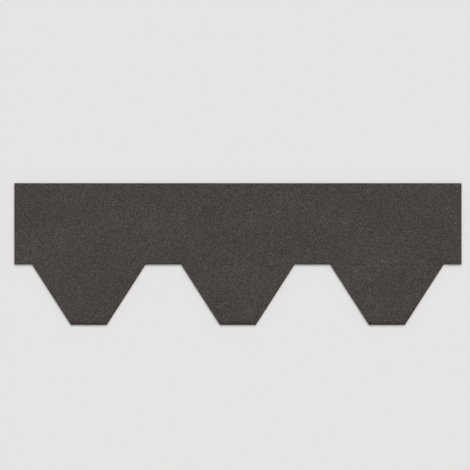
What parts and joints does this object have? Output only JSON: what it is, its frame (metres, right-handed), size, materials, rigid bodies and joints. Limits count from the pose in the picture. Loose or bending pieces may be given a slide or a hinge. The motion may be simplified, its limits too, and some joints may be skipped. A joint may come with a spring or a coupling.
{
  "type": "hexagonal asphalt shingle strip",
  "caption": "Flat bitumen felt roofing strip with a mineral granule face: half-hexagon tabs along its lower edge and a plain head that is nailed down and lapped by the next course.",
  "frame": {"origin": "under the middle of the strip's box, on the face that lies on the roof deck", "axes": "+X along the eave and the length of the strip, +Y up the roof from the tabs to the head edge, +Z out of the granule face"},
  "size_m": [1, 0.317, 0.0032],
  "materials": {
    "granule_face": "matte",
    "bitumen_felt": "matte"
  },
  "bodies": {
    "root": {"shingle_strip": "granule_face"}
  },
  "joints": []
}
